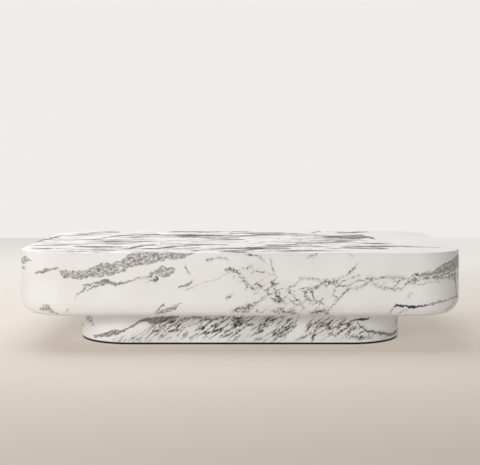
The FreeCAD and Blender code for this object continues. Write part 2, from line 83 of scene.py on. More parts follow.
# Veins of the block's sides: (along the side from the front's middle, height, half width), all in mm.
# Bands are grey and speckled, lines thin and broken, greys soft and whole, and inks black. Clusters hold dark
# grains, and fields fine cracks.
sideVeins = {
    "bands": {
        "rising band": [(-603, 277, 0), (-590, 270, 10), (-560, 268, 11), (-523, 270, 13.5), (-493, 276, 16),
            (-470, 282, 21), (-430, 284, 19), (-399, 294, 19), (-374, 308, 21), (-347, 318, 20),
            (-307, 324, 18), (-254, 329, 13), (-201, 332, 11), (-168, 337, 5), (-150, 342, 0)],
        "leaf": [(-308, 267, 0), (-290, 272, 4), (-279, 277, 6), (-267, 279, 14), (-252, 277, 17),
            (-236, 279, 14), (-224, 282, 7), (-213, 286, 0)],
        "low wedge": [(-684, 152, 0), (-671, 152, 6), (-653, 155, 12), (-633, 150, 10), (-613, 140, 3),
            (-604, 137, 0)],
        "feather": [(-284, 139, 0), (-272, 142, 4), (-247, 148, 7), (-226, 157, 7.5), (-208, 165, 4),
            (-195, 175, 0)],
        "corner band": [(613, 262, 0), (638, 266, 4), (665, 273, 8), (691, 281, 11), (716, 289, 13),
            (742, 295, 15), (790, 295, 16), (830, 290, 14), (870, 284, 0)],
        "right side band": [(880, 150, 0), (930, 165, 8), (990, 190, 14), (1050, 215, 18), (1110, 232, 20),
            (1190, 240, 20)],
        "left side band": [(-1190, 205, 16), (-1120, 212, 15), (-1060, 225, 12), (-1000, 245, 14),
            (-950, 262, 9), (-900, 270, 0)],
        "corner blotch": [(-812, 301, 0), (-785, 304, 8), (-752, 308, 10), (-730, 309, 6), (-710, 311, 0)],
        "second corner blotch": [(-800, 281, 0), (-782, 282, 4), (-764, 283, 5), (-748, 285, 0)],
    },
    "lines": {
        "leaf hook": [(-312, 243, 0), (-297, 248, 4), (-285, 249, 7), (-277, 254, 7), (-270, 262, 0)],
        "leaf stem": [(-345, 251, 0), (-322, 254, 1.5), (-305, 260, 2.5), (-290, 267, 3), (-276, 272, 0)],
        "feather tip": [(-286, 137, 0), (-274, 141, 5), (-258, 142, 4), (-244, 144, 0)],
        "mark": [(-53, 192, 0), (-45, 194, 4), (-35, 198, 3), (-25, 202, 0)],
        "dots": [(-112, 312, 0), (-98, 315, 2.3), (-76, 323, 2.3), (-62, 319, 1.3), (-44, 313, 0)],
        "middle": [(-50, 280, 0), (-42, 283, 3.7), (-23, 285, 4), (-10, 277, 3.7), (-5, 264, 3.3),
            (14, 255, 3), (21, 244, 3), (33, 234, 3), (44, 225, 3), (59, 218, 3.3), (71, 224, 2.7),
            (84, 233, 0)],
        "upper dots": [(18, 335, 0), (31, 331, 2), (51, 331, 2.3), (70, 321, 2), (81, 312, 0)],
        "dash": [(16, 287, 0), (25, 290, 2.7), (36, 296, 0)],
        "edge tick": [(226, 325, 0), (238, 329, 2.5), (250, 333, 2), (262, 337, 0)],
        "edge speck": [(364, 338, 0), (371, 333, 2.5), (377, 328, 0)],
        "middle foot": [(-29, 137, 0), (-10, 151, 4), (17, 161, 4.3), (31, 171, 3.3), (49, 169, 4),
            (61, 177, 2.3), (78, 191, 1.7), (94, 203, 0)],
        "arch": [(154, 219, 0), (167, 230, 2), (184, 242, 2.7), (192, 250, 3), (213, 256, 2.3),
            (231, 251, 2.7), (250, 250, 1.3), (267, 244, 0)],
        "stair": [(159, 191, 0), (166, 185, 2.7), (174, 176, 2.7), (182, 169, 2.7), (203, 171, 1.3),
            (220, 181, 1.3), (230, 191, 0)],
        "foot specks": [(124, 157, 0), (137, 154, 2.3), (154, 143, 3.3), (174, 143, 3), (197, 139, 0)],
        "loop": [(216, 207, 0), (224, 215, 3.3), (234, 222, 3.7), (255, 227, 3.3), (287, 241, 3.7),
            (310, 241, 4.6), (329, 256, 3), (343, 264, 1), (361, 274, 2.7), (377, 285, 2.7), (393, 300, 0)],
        "loop lower": [(214, 207, 0), (220, 195, 3.3), (227, 185, 3), (237, 181, 2), (254, 194, 0)],
        "diagonal": [(287, 137, 0), (295, 152, 2), (304, 166, 3), (319, 182, 2.7), (337, 197, 2.3),
            (353, 211, 2.7), (367, 219, 2), (390, 224, 2), (420, 238, 2.7), (433, 249, 2.3), (446, 257, 0)],
        "foot cluster": [(237, 139, 0), (250, 143, 3.3), (264, 149, 2.7), (275, 149, 4), (287, 141, 3),
            (297, 135, 0)],
        "right upper": [(413, 252, 0), (426, 258, 2.7), (456, 257, 2), (493, 258, 2.7), (514, 259, 3),
            (541, 260, 2.3), (559, 254, 1.7), (578, 265, 2.7), (599, 268, 3.3), (623, 267, 0)],
        "right lower": [(433, 238, 0), (446, 234, 2.3), (466, 227, 2), (483, 222, 2), (509, 219, 2.7),
            (535, 224, 2.3), (551, 237, 2.3), (567, 245, 4), (589, 246, 2), (616, 253, 1.7), (641, 249, 0)],
        "foot tick": [(491, 137, 0), (499, 145, 2.7), (509, 153, 0)],
        "second foot tick": [(533, 139, 0), (546, 148, 2.7), (561, 157, 0)],
        "small tick": [(558, 195, 0), (566, 199, 2), (577, 204, 0)],
        "steep dots": [(98, 320, 0), (102, 308, 7), (108, 288, 8), (114, 266, 0)],
        "steep fork": [(-186, 298, 0), (-181, 290, 6), (-176, 281, 6), (-171, 272, 0)],
        "dark knot": [(104, 216, 0), (112, 207, 6), (124, 196, 8), (136, 188, 7), (147, 179, 0)],
        "second dark knot": [(100, 190, 0), (112, 186, 5), (128, 180, 6), (144, 184, 0)],
        "speck": [(-583, 136, 0), (-577, 144, 3), (-569, 150, 0)],
        "right side line": [(870, 300, 0), (920, 285, 2.5), (980, 290, 2), (1040, 275, 3), (1100, 280, 2),
            (1190, 270, 2)],
        "right side foot": [(900, 150, 0), (960, 158, 2), (1030, 150, 2.5), (1090, 162, 2), (1190, 158, 2)],
        "left side line": [(-1190, 300, 2), (-1110, 306, 3), (-1050, 296, 2), (-980, 300, 3), (-920, 291, 2),
            (-860, 296, 0)],
        "left side foot": [(-1190, 150, 2), (-1100, 160, 3), (-1030, 152, 2), (-960, 165, 2.5),
            (-890, 158, 0)],
        "corner hook": [(708, 139, 0), (725, 148, 2), (739, 159, 2), (753, 178, 1), (763, 199, 0)],
        "rim line": [(742, 296, 0), (752, 270, 12), (760, 235, 12), (768, 200, 10), (776, 180, 0)],
    },
    "greys": {
        "lead in": [(-700, 268, 0), (-686, 275, 2.5), (-658, 284, 3), (-633, 282, 3), (-613, 286, 2),
            (-598, 284, 0)],
        "branch": [(-530, 228, 0), (-511, 233, 2.5), (-490, 235, 3), (-465, 242, 4), (-440, 246, 5),
            (-429, 240, 4.5), (-413, 235, 5), (-394, 239, 4), (-378, 244, 3), (-352, 250, 1.5),
            (-330, 253, 0)],
        "branch lower": [(-510, 214, 0), (-497, 219, 3), (-480, 226, 3.5), (-462, 234, 3), (-440, 241, 0)],
        "branch tail": [(-548, 190, 0), (-537, 205, 3), (-524, 219, 3), (-508, 230, 0)],
        "tick": [(-206, 224, 0), (-196, 230, 3.5), (-180, 237, 4), (-166, 243, 3), (-157, 250, 0)],
        "long hair": [(-186, 222, -2), (-141, 232, -0.3), (-100, 243, -0.2), (-72, 254, 0), (-52, 267, 0.5),
            (-40, 276, 0)],
        "feather spike": [(-287, 142, 0), (-278, 151, 4), (-268, 160, 4), (-254, 172, 0)],
        "corner upper": [(590, 264, 0), (640, 273, 2), (665, 283, 3), (691, 296, 3.5), (716, 308, 3.5),
            (742, 316, 3.5), (790, 318, 3), (830, 316, 0)],
        "corner middle": [(620, 260, 0), (655, 268, 2), (690, 281, 3), (720, 292, 3), (750, 305, 3),
            (780, 316, 0)],
        "corner lower": [(640, 254, 0), (680, 261, 2.5), (712, 269, 3), (740, 277, 3), (768, 284, 0)],
        "corner foot": [(650, 249, 0), (690, 252, 1.5), (722, 257, 2.5), (748, 263, 2.5), (772, 267, 0)],
        "right hair": [(616, 163, 0), (638, 168, 1.8), (669, 172, 1.8), (706, 178, 1.8), (750, 184, 1.6),
            (790, 187, 0)],
    },
    "clusters": {
        "middle foot grains": [(-30, 138, 0), (-10, 146, 9), (8, 151, 11), (34, 161, 12), (46, 172, 9),
            (64, 180, 0)],
        "knot grains": [(98, 242, 0), (106, 236, 14), (116, 217, 18), (124, 200, 17), (137, 187, 11),
            (152, 180, 0)],
        "foot grains": [(104, 148, 0), (118, 148, 8), (137, 148, 10), (161, 143, 9), (187, 138, 7),
            (200, 137, 0)],
        "far foot grains": [(228, 150, 0), (240, 148, 8), (263, 145, 10), (288, 148, 9), (300, 160, 0)],
        "loop grains": [(272, 236, 0), (284, 239, 8), (304, 242, 9), (322, 249, 8), (335, 255, 0)],
        "loop side grains": [(210, 218, 0), (218, 210, 12), (226, 197, 14), (234, 185, 10), (242, 180, 0)],
        "hub grains": [(-54, 283, 0), (-42, 285, 7), (-24, 285, 9), (-8, 278, 7), (4, 268, 0)],
        "right hub grains": [(548, 238, 0), (562, 243, 6), (580, 249, 6.5), (604, 254, 6), (630, 262, 7),
            (660, 268, 0)],
    },
    "inks": {
        "black vein": [(507, 160, 0), (517, 162, 3.2), (535, 163, 2.4), (551, 166, 3.6), (569, 163, 4),
            (588, 160, 4.2), (602, 162, 2.6), (625, 165, 0)],
    },
    "fields": {
        "middle field": [(-60, 270, 0), (0, 262, 24), (40, 245, 42), (90, 230, 55), (130, 215, 45),
            (170, 200, 40), (230, 195, 36), (290, 205, 34), (340, 235, 26), (400, 250, 18), (430, 255, 0)],
        "foot field": [(-35, 145, 0), (20, 155, 18), (80, 160, 20), (140, 150, 16), (200, 145, 14),
            (260, 145, 16), (310, 150, 0)],
        "right field": [(420, 246, 0), (470, 241, 17), (520, 240, 19), (580, 250, 18), (640, 262, 22),
            (700, 270, 30), (780, 280, 34), (860, 290, 0)],
        "right side field": [(900, 220, 0), (980, 215, 40), (1080, 225, 55), (1180, 235, 55)],
        "left side field": [(-1180, 215, 50), (-1080, 222, 45), (-980, 245, 30), (-900, 262, 0)],
    },
    "cracks": {"length": 62, "width": 30, "turn": 32, "line": 2, "dark": 0.74, "haze": 0.03,
               "breaks": (30, 30)},
    "grain": (11, 6, 24),  # length, width and turn, coarser than real grain, so that it shows
    "bandFill": (0.62, 0.05),  # darkest and palest speck of a band
    "clusterFill": (0.1, 0.74),  # palest and darkest grain of a cluster
    "drifts": ((60, 14), (13, 8)),  # size and reach
    "groundWithPaintedLight": ("#e2dfdc", "#dad6d3"),  # clean stone, and its faint clouds, painted darker than the top's as painted shade on the upright faces
}

# Veins of the upper face: (x, y, half width).
topVeins = {
    "bands": {
        "long band left": [(-636, 8, 0), (-593, 25, 18), (-559, 52, 23), (-536, 105, 26), (-513, 169, 31),
            (-461, 231, 34), (-404, 265, 31), (-356, 275, 26), (-325, 250, 0)],
        "long band middle": [(-335, 207, 0), (-302, 221, 23), (-238, 231, 52), (-201, 226, 72),
            (-172, 221, 52), (-136, 226, 26), (-59, 207, 21), (42, 207, 26), (108, 255, 26), (164, 236, 21),
            (245, 221, 16), (284, 207, 0)],
        "long band right": [(277, 217, 0), (315, 193, 21), (352, 155, 47), (415, 151, 78), (464, 160, 98),
            (510, 179, 83), (527, 105, 47), (540, 34, 0)],
        "back right": [(368, 419, 0), (397, 413, 23), (433, 387, 34), (466, 382, 31), (520, 408, 20),
            (548, 366, 0)],
        "front left": [(-667, -205, 0), (-647, -194, 23), (-617, -182, 20), (-595, -176, 0)],
        "front second": [(-425, -318, 0), (-395, -311, 20), (-369, -268, 26), (-319, -194, 31),
            (-280, -190, 0)],
        "front third": [(-290, -278, 0), (-252, -268, 20), (-209, -220, 21), (-171, -201, 26),
            (-130, -180, 0)],
        "front fourth": [(-116, -332, 0), (-82, -318, 23), (-47, -308, 20), (26, -301, 23), (64, -297, 39),
            (96, -304, 0)],
        "right streak": [(440, -236, 0), (470, -240, 16), (520, -236, 20), (577, -243, 20), (630, -257, 16),
            (690, -277, 12), (735, -292, 0)],
        "under streak": [(345, -282, 0), (366, -286, 16), (403, -301, 16), (440, -311, 18), (481, -315, 16),
            (512, -318, 0)],
        "right middle": [(340, -62, 0), (362, -55, 17), (397, -42, 21), (437, -15, 23), (468, 8, 18),
            (500, 15, 0)],
        "right third": [(415, -140, 0), (438, -136, 16), (484, -120, 16), (512, -114, 0)],
        "front edge": [(-75, -418, 0), (-49, -411, 18), (-22, -398, 21), (5, -381, 21), (32, -364, 21),
            (60, -343, 21), (100, -338, 16), (143, -329, 13), (168, -325, 0)],
        "middle streak": [(90, -188, 0), (110, -182, 14), (145, -172, 14), (179, -167, 13), (202, -164, 0)],
        "front fleck": [(-165, -415, 0), (-150, -411, 14), (-131, -391, 14), (-114, -385, 0)],
        "back streak": [(-318, 396, 0), (-287, 403, 18), (-249, 408, 20), (-222, 405, 10), (-205, 409, 17),
            (-170, 412, 8), (-142, 408, 16), (-120, 405, 8), (-94, 408, 19), (-55, 404, 7), (-11, 408, 18),
            (23, 406, 18), (60, 400, 0)],
        "back fleck": [(293, 360, 0), (304, 366, 16), (320, 395, 21), (339, 424, 17), (352, 436, 0)],
        "left back": [(-682, 252, 0), (-658, 265, 17), (-608, 315, 21), (-558, 366, 18), (-524, 370, 16),
            (-505, 372, 0)],
        "left middle": [(-512, -132, 0), (-491, -128, 18), (-414, -128, 18), (-392, -124, 0)],
        "left rim": [(-766, -60, 0), (-757, -60, 45), (-745, 20, 65), (-722, 150, 30), (-705, 240, 0)],
        "left rim back": [(-692, 288, 0), (-660, 332, 16), (-600, 386, 10), (-540, 414, 12), (-500, 420, 0)],
    },
    "fields": {
        "left and middle": [(-775, -40, 0), (-740, -40, 260), (-640, -40, 400), (-450, -30, 460),
            (-200, -30, 460), (0, -40, 440), (200, -50, 400), (360, -60, 300), (470, -90, 180),
            (560, -150, 0)],
    },
    # Flecks fill a zone, dark at the rim and paler in the core. A hair is a line between two of them.
    "streaks": [
        {"zone": "bands", "length": 300, "width": 40, "turn": 8, "spread": (0.38, 0.44), "dark": (1, 0.78),
         "soft": 9},
        {"zone": "fields", "length": 330, "width": 50, "turn": 5, "spread": (0.58, 0.62), "dark": (0.9, 0.58),
         "soft": 60},
        {"zone": "fields", "length": 150, "width": 22, "turn": 9, "spread": (0.62, 0.67), "dark": (0.75, 0.5),
         "soft": 60},
        {"zone": "fields", "length": 520, "width": 130, "turn": 16, "hair": 0.012, "dark": (0.6, 0.6),
         "soft": 70},
    ],
    "coreDepth": 0.08,  # how far past its edge a fleck reaches its core's shade
    "fibres": (46, 5, 7),  # length, width and turn of the fine streaks within a fleck
    "fibreShade": (0.42, 1.3),  # palest and darkest, in parts of the fleck's own shade
    "gloss": 0.12,
    "roughness": (0.7, 0.78),
    "drifts": ((170, 45), (30, 9), (8, 3)),  # size and reach
    "groundWithPaintedLight": ("#f1eeea", "#e9e5e1"),  # clean stone, and its faint clouds, painted lighter than the sides' as painted light on the upper face
}

# Veins of the plinth: (along the plinth from the front's middle, height, half width).
plinthVeins = {
    "bands": {
        "left vein": [(-544, 20, 0), (-511, 24, 6), (-483, 28, 9), (-455, 35, 10), (-428, 41, 8),
            (-403, 49, 5), (-385, 62, 5), (-360, 77, 5), (-329, 89, 6), (-308, 92, 0)],
        "dark wedge": [(-332, 83, 0), (-318, 84, 9), (-304, 86, 13), (-283, 89, 13), (-258, 93, 9),
            (-237, 96, 6), (-213, 100, 0)],
        "left side vein": [(-810, 70, 9), (-740, 62, 8), (-680, 50, 6), (-620, 42, 0)],
        "right vein": [(446, 46, 0), (474, 41, 5), (500, 35, 6), (537, 29, 7), (586, 23, 6), (646, 24, 5),
            (700, 32, 0)],
    },
    "lines": {
        "stroke": [(-283, 51, 0), (-269, 64, 3.2), (-251, 77, 3.5), (-223, 98, 0)],
        "second stroke": [(-280, 41, 0), (-251, 58, 2.8), (-220, 77, 3.2), (-174, 99, 0)],
        "dashes": [(-157, 92, 0), (-143, 94, 3.5), (-125, 96, 3.2), (-100, 99, 0)],
        "thin stroke": [(-111, 44, 0), (-90, 58, 2.1), (-60, 77, 0)],
        "middle stroke": [(-34, 55, 0), (-13, 65, 3.9), (5, 72, 3.2), (22, 78, 0)],
        "fourth stroke": [(54, 37, 0), (72, 53, 3.5), (96, 71, 3.5), (138, 99, 0)],
        "fifth stroke": [(68, 51, 0), (86, 69, 3.2), (107, 85, 0)],
        "chevron": [(158, 69, 0), (166, 62, 3.5), (175, 56, 3.2), (191, 74, 3.5), (210, 97, 0)],
        "chevron foot": [(156, 30, 0), (173, 46, 3.2), (198, 67, 0)],
        "low line": [(193, 12, 0), (212, 22, 3.2), (240, 33, 0)],
        "loop": [(249, 72, 0), (254, 65, 3.5), (265, 60, 4.2), (286, 63, 3.9), (307, 66, 3.5), (321, 74, 0)],
        "loop side": [(245, 65, 0), (251, 79, 2.5), (260, 96, 0)],
        "loop foot": [(249, 8, 0), (258, 23, 5.6), (268, 44, 4.6), (275, 58, 0)],
        "low cracks": [(381, 18, 0), (402, 27, 3.2), (420, 23, 3.9), (438, 25, 2.8), (462, 18, 0)],
    },
    "inks": {
        "fork": [(367, 67, 0), (388, 76, 1.6), (408, 84, 2.2), (424, 87, 3.4), (440, 87, 3), (462, 90, 0)],
        "fork foot": [(412, 84, 0), (417, 73, 2), (424, 62, 2.2), (440, 52, 2), (462, 46, 1.6),
            (482, 42, 0)],
    },
    "fields": {
        "left field": [(-445, 14, 0), (-400, 18, 8), (-340, 30, 18), (-280, 48, 32), (-200, 62, 42),
            (-100, 64, 42), (0, 62, 46), (80, 60, 48), (140, 58, 42), (175, 70, 22), (200, 88, 0)],
        "right field": [(222, 50, 0), (250, 54, 30), (320, 64, 38), (370, 60, 32), (420, 48, 20),
            (480, 32, 9), (560, 24, 0)],
        "side field": [(600, 60, 0), (680, 60, 40), (800, 60, 45)],
    },
    "clusters": {
        "end grains": [(-592, 86, 0), (-578, 83, 16), (-562, 80, 18), (-546, 72, 12), (-530, 64, 0)],
        "wedge grains": [(-322, 70, 0), (-296, 68, 12), (-268, 74, 14), (-236, 84, 12), (-206, 92, 0)],
        "middle grains": [(-40, 60, 0), (-20, 64, 14), (6, 70, 16), (30, 74, 0)],
        "second grains": [(60, 66, 0), (80, 74, 18), (100, 82, 16), (124, 90, 0)],
        "chevron grains": [(118, 50, 0), (140, 52, 14), (164, 54, 14), (186, 62, 8), (200, 74, 0)],
        "loop grains": [(250, 68, 0), (268, 66, 10), (292, 66, 12), (316, 70, 8), (334, 74, 0)],
        "loop foot grains": [(246, 18, 0), (256, 26, 14), (266, 44, 14), (278, 58, 0)],
        "right grains": [(372, 22, 0), (394, 26, 6), (418, 26, 8), (446, 24, 6), (476, 20, 0)],
    },
    "cracks": {"length": 70, "width": 14, "turn": 37, "line": 3.2, "dark": 1, "haze": 0.08,
               "breaks": (70, 10)},
    "grain": (26, 5, 37),
    "bandFill": (0.8, 0.3),
    "clusterFill": (0.1, 0.95),
    "drifts": ((60, 12), (13, 4)),  # size and reach
    "groundWithPaintedLight": ("#f7f5f3", "#eeebe8"),  # clean stone, and its faint clouds, painted lighter than the sides' as painted light against the shade under the block
}

# How the veins wander, tear and break. Sizes and depths are in mm, spreads are parts of a noise from 0 to 1.
marbleLook = {
    "cloudSize": 190,
    "cloudSpread": (0.35, 0.7),
    "tints": ((0, "#ffffff"), (0.25, "#d2d0cd"), (0.5, "#a19f9c"), (0.75, "#6c6a68"), (1, "#1c1b1a")),
    "tear": (7, 7),  # size and reach
    "blotSize": 9,
    "blotSpread": (0.4, 0.6),
    "blotLeast": 0.35,  # what the palest blots leave of a vein
    "breakSize": 30,
    "breakSpread": (0.34, 0.5),
    "endFade": 12,  # past the ends of a vein
    "bandEdge": (-0.8, 1.6),  # depths where a band begins and is full
    "bandRim": (1, 5, 0.72),  # depths over which its dark rim fades, and how dark that is
    "bandGrain": (0.3, 0.7),
    "clusterEdge": (-5, 8),
    "clusterGrain": (0.5, 0.6),
    "fieldEdge": (-15, 20),
    "crackEdge": (0.2, 1.3),  # parts of a crack's width over which it fades
    "crackSpread": (0.38, 0.53),
    "fibreSpread": (0.35, 0.65),
    "roughness": (0.46, 0.58),  # of clean stone and of the darkest vein
    "gloss": 0.3,
    "bump": (0.15, 0.0003),  # strength, and depth in metres
}
# Each kind of thin vein: its darkness, the depths where its edge begins and ends, what breaks leave of it,
# how much of the tear it takes, and the reach and darkness of the grey about it.
thinVeins = {
    "lines": {"dark": 0.85, "edge": (-1, 2.2), "least": 0.3, "tear": 1, "halo": (9, 0.12)},
    "greys": {"dark": 0.62, "edge": (-1.2, 1.4), "least": 0.75, "tear": 0.45, "halo": (6, 0.08)},
    "inks": {"dark": 1, "edge": (-1.2, 0.6), "least": 0.9, "tear": 0.6, "halo": (5, 0.08)},
}


# How deep a point lies in the nearest torn vein, below zero outside, and its darkness from the edge inwards.
def inVeins(tree, face, veins, tear, edge, dark=1):
    across, up, _ = addNode(tree, "SeparateXYZ", {0: face}).outputs
    deepest = None
    fade = marbleLook["endFade"]
    for points in veins.values():
        centres = [(along, height) for along, height, _ in points]
        widths = [(along, half) for along, _, half in points]
        widths = [(widths[0][0] - fade, -fade), *widths, (widths[-1][0] + fade, -fade)]
        centre, half = (addNode(tree, "FloatCurve", {"Value": across}) for _ in range(2))
        for node, stops in ((centre, centres), (half, widths)):
            node.mapping.use_clip = False
            line = node.mapping.curves[0]
            line.points[0].location = stops[0]
            line.points[1].location = stops[-1]
            for stop in stops[1:-1]:
                line.points.new(*stop)
            node.mapping.update()
        apart = addNode(tree, "Math", {0: up, 1: centre}, operation="SUBTRACT")
        apart = addNode(tree, "Math", {0: apart}, operation="ABSOLUTE")
        depth = addNode(tree, "Math", {0: half, 1: apart}, operation="SUBTRACT")
        if deepest is not None:
            depth = addNode(tree, "Math", {0: deepest, 1: depth}, operation="MAXIMUM")
        deepest = depth
    depth = addNode(tree, "Math", {0: deepest, 1: tear}, operation="ADD")
    begin, full = edge
    inside = addNode(tree, "MapRange", {"Value": depth, "From Min": begin, "From Max": full, "To Max": dark},
                     interpolation_type="SMOOTHSTEP")
    return depth, inside


def startStone(name, veins, shift, upright):  # the stone's own place in mm, and its face bent by drifts
    material, tree, shader = newMaterial(name)
    point = addNode(tree, "TexCoord").outputs["Object"]
    spot = addNode(tree, "Mapping", {"Vector": point, "Location": shift, "Scale": [mmPerMetre] * 3})
    face = addNode(tree, "UVMap", uv_map="stoneFace") if upright else point
    face = addNode(tree, "VectorMath", {0: face, "Scale": mmPerMetre}, operation="SCALE")
    for size, reach in veins["drifts"]:
        drift = addNode(tree, "TexNoise", {"Vector": spot, "Scale": 1 / size, "Detail": 2})
        drift = addNode(tree, "VectorMath", {0: drift.outputs["Color"], 1: [noiseMiddle] * 3},
                        operation="SUBTRACT")
        drift = addNode(tree, "VectorMath", {0: drift, "Scale": 2 * reach}, operation="SCALE")
        face = addNode(tree, "VectorMath", {0: face, 1: drift}, operation="ADD")
    return material, tree, shader, spot, face


def stretchedNoise(tree, face, length, width, turn, detail):  # drawn out along one direction of the face
    cells = addNode(tree, "Mapping", {"Vector": face, "Rotation": (0, 0, math.radians(turn)),
                                      "Scale": (length, width, 1)}, vector_type="TEXTURE")
    return addNode(tree, "TexNoise", {"Vector": cells, "Scale": 1, "Detail": detail}, noise_dimensions="2D")


# In a Mix node of colours, socket 0 is the share of the second one, and 6 and 7 are the two.
def finishMarble(tree, shader, veins, spot, layers):  # the darkest layer tints the ground
    dark = layers[0]
    for layer in layers[1:]:
        dark = addNode(tree, "Math", {0: dark, 1: layer}, operation="MAXIMUM")
    tint = addNode(tree, "ValToRGB", {0: dark}, marbleLook["tints"])
    cloud = addNode(tree, "TexNoise", {"Vector": spot, "Scale": 1 / marbleLook["cloudSize"], "Detail": 4})
    low, high = marbleLook["cloudSpread"]
    cloud = addNode(tree, "MapRange", {"Value": cloud, "From Min": low, "From Max": high})
    # Each stone's ground holds painted light: the top's and the plinth's are lighter and the sides' darker,
    # though they are one marble.
    clean, clouded = veins["groundWithPaintedLight"]
    groundWithPaintedLight = addNode(tree, "Mix", {0: cloud, 6: hexColour(clean), 7: hexColour(clouded)}, data_type="RGBA")
    colour = addNode(tree, "Mix", {0: 1, 6: groundWithPaintedLight, 7: tint}, data_type="RGBA", blend_type="MULTIPLY")
    smooth, rough = veins.get("roughness", marbleLook["roughness"])
    sheen = addNode(tree, "MapRange", {"Value": dark, "To Min": smooth, "To Max": rough})
    strength, depth = marbleLook["bump"]
    bump = addNode(tree, "Bump", {"Height": dark, "Strength": strength, "Distance": depth}, invert=True)
    setInputs(tree, shader, {"Base Color": colour, "Roughness": sheen, "Normal": bump,
                             "Specular IOR Level": veins.get("gloss", marbleLook["gloss"])})


# Honed white marble: a warm white, softly clouded ground, torn grey veins and a dull sheen.
def veinedMarble(name, veins, shift):
    material, tree, shader, spot, face = startStone(name, veins, shift, True)
    size, reach = marbleLook["tear"]
    tear = addNode(tree, "TexNoise", {"Vector": spot, "Scale": 1 / size, "Detail": 3})
    tear = addNode(tree, "MapRange", {"Value": tear, "To Min": -reach, "To Max": reach})
    grain = stretchedNoise(tree, face, *veins["grain"], detail=2)
    blots = addNode(tree, "TexNoise", {"Vector": spot, "Scale": 1 / marbleLook["blotSize"], "Detail": 1})
    low, high = marbleLook["blotSpread"]
    blots = addNode(tree, "MapRange", {"Value": blots, "From Min": low, "From Max": high,
                                       "To Min": marbleLook["blotLeast"]})
    unbroken = addNode(tree, "TexNoise", {"Vector": spot, "Scale": 1 / marbleLook["breakSize"], "Detail": 2})
    low, high = marbleLook["breakSpread"]
    unbroken = addNode(tree, "MapRange", {"Value": unbroken, "From Min": low, "From Max": high})
    unbroken = addNode(tree, "Math", {0: unbroken, 1: blots}, operation="MULTIPLY")

    depth, inside = inVeins(tree, face, veins["bands"], tear, marbleLook["bandEdge"])
    begin, end, dark = marbleLook["bandRim"]
    rim = addNode(tree, "MapRange", {"Value": depth, "From Min": begin, "From Max": end, "To Min": dark,
                                     "To Max": 0})
    rim = addNode(tree, "Math", {0: rim, 1: blots}, operation="MULTIPLY")
    low, high = marbleLook["bandGrain"]
    dark, light = veins["bandFill"]
    specks = addNode(tree, "MapRange", {"Value": grain, "From Min": low, "From Max": high, "To Min": dark,
                                        "To Max": light})
    fill = addNode(tree, "Math", {0: rim, 1: specks}, operation="MAXIMUM")
    layers = [addNode(tree, "Math", {0: inside, 1: fill}, operation="MULTIPLY")]

    for kind, look in thinVeins.items():
        if kind not in veins:
            continue
        torn = addNode(tree, "Math", {0: tear, 1: look["tear"]}, operation="MULTIPLY")
        depth, line = inVeins(tree, face, veins[kind], torn, look["edge"], look["dark"])
        kept = addNode(tree, "Math", {0: unbroken, 1: look["least"]}, operation="MAXIMUM")
        layers.append(addNode(tree, "Math", {0: line, 1: kept}, operation="MULTIPLY"))
        reach, grey = look["halo"]
        layers.append(addNode(tree, "MapRange", {"Value": depth, "From Min": -reach, "From Max": 0,
                                                 "To Max": grey}, interpolation_type="SMOOTHSTEP"))

    _, cluster = inVeins(tree, face, veins["clusters"], tear, marbleLook["clusterEdge"])
    low, high = marbleLook["clusterGrain"]
    light, dark = veins["clusterFill"]
    specks = addNode(tree, "MapRange", {"Value": grain, "From Min": low, "From Max": high, "To Min": light,
                                        "To Max": dark})
    layers.append(addNode(tree, "Math", {0: cluster, 1: specks}, operation="MULTIPLY"))

    _, field = inVeins(tree, face, veins["fields"], tear, marbleLook["fieldEdge"])
    cracks = veins["cracks"]
    cells = addNode(tree, "Mapping", {"Vector": face, "Rotation": (0, 0, math.radians(cracks["turn"])),
                                      "Scale": (cracks["length"], cracks["width"], 1)}, vector_type="TEXTURE")
    crack = addNode(tree, "TexVoronoi", {"Vector": cells, "Scale": 1}, feature="DISTANCE_TO_EDGE",
                    voronoi_dimensions="2D")
    line = cracks["line"] / cracks["width"]
    begin, end = marbleLook["crackEdge"]
    crack = addNode(tree, "MapRange", {"Value": crack, "From Min": begin * line, "From Max": end * line,
                                       "To Min": cracks["dark"], "To Max": 0},
                    interpolation_type="SMOOTHSTEP")
    kept = stretchedNoise(tree, face, *cracks["breaks"], cracks["turn"], detail=2)
    low, high = marbleLook["crackSpread"]
    kept = addNode(tree, "MapRange", {"Value": kept, "From Min": low, "From Max": high})
    kept = addNode(tree, "Math", {0: kept, 1: blots}, operation="MULTIPLY")
    crack = addNode(tree, "Math", {0: crack, 1: kept}, operation="MULTIPLY")
    crack = addNode(tree, "Math", {0: crack, 1: cracks["haze"]}, operation="MAXIMUM")
    layers.append(addNode(tree, "Math", {0: field, 1: crack}, operation="MULTIPLY"))
    finishMarble(tree, shader, veins, spot, layers)
    return material


